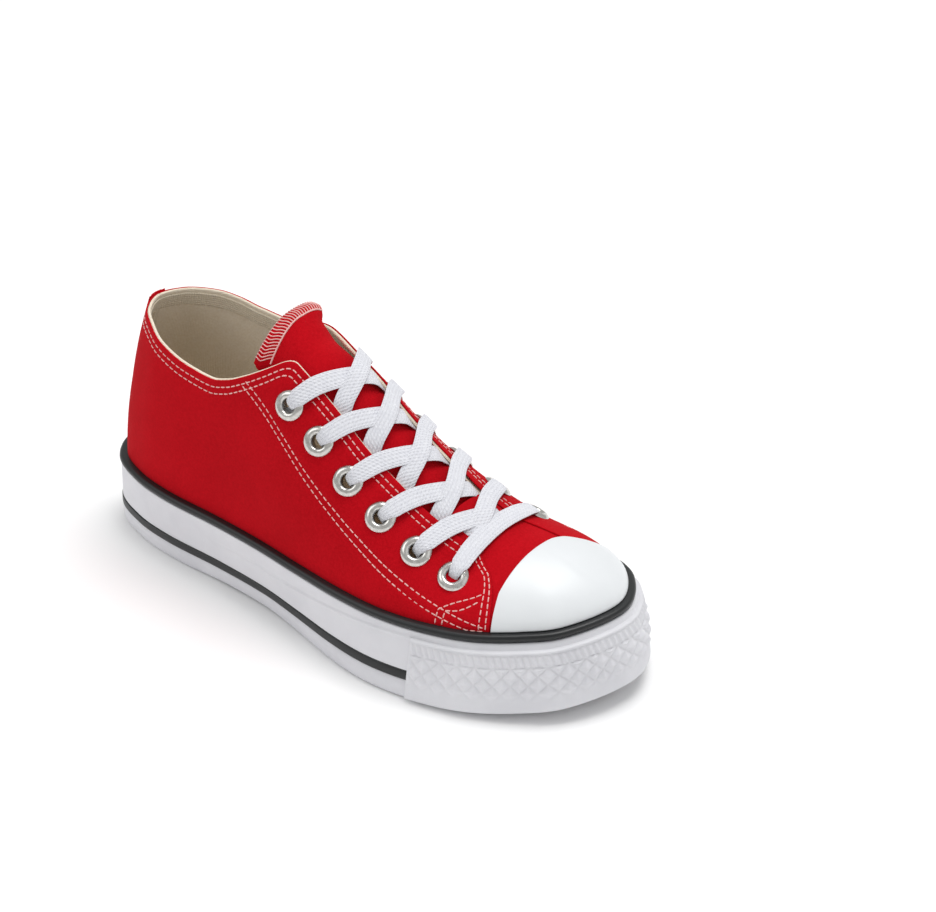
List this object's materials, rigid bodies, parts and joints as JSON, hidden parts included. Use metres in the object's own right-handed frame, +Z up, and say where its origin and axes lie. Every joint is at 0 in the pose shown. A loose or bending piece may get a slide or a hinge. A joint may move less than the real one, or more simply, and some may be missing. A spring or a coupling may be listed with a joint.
{
  "type": "canvas sneaker",
  "caption": "Low lace-up sneaker for the right foot: red canvas upper, white rubber toe cap and thick flared sole, black welt and side line, flat white laces in metal eyelets.",
  "frame": {"origin": "centre of the footprint, on the ground under the sole", "axes": "+X towards the toe, +Y towards the inner (medial) side of the foot, +Z up"},
  "size_m": [0.2718, 0.1094, 0.13],
  "materials": {
    "white_rubber": "matte",
    "cap_rubber": "satin",
    "black_rubber": "satin",
    "red_canvas": "plain-weave cotton",
    "lining_canvas": "unbleached cotton",
    "insole_cloth": "cloth over foam",
    "white_cotton": "flat braid",
    "nickel": "nickel plated"
  },
  "bodies": {
    "root": {"outsole": "white_rubber", "foxing": "white_rubber", "side_stripe": "black_rubber", "welt": "black_rubber", "toe_bumper": "white_rubber", "toe_cap": "cap_rubber", "upper": "red_canvas", "tongue": "red_canvas", "insole": "insole_cloth", "lace_crossing_1": "white_cotton", "lace_crossing_2": "white_cotton", "lace_crossing_3": "white_cotton", "lace_crossing_4": "white_cotton", "lace_crossing_5": "white_cotton", "lace_bar": "white_cotton", "eyelet_lateral_1": "nickel", "eyelet_medial_1": "nickel", "eyelet_lateral_2": "nickel", "eyelet_medial_2": "nickel", "eyelet_lateral_3": "nickel", "eyelet_medial_3": "nickel", "eyelet_lateral_4": "nickel", "eyelet_medial_4": "nickel", "eyelet_lateral_5": "nickel", "eyelet_medial_5": "nickel", "eyelet_lateral_6": "nickel", "eyelet_medial_6": "nickel"}
  },
  "joints": []
}
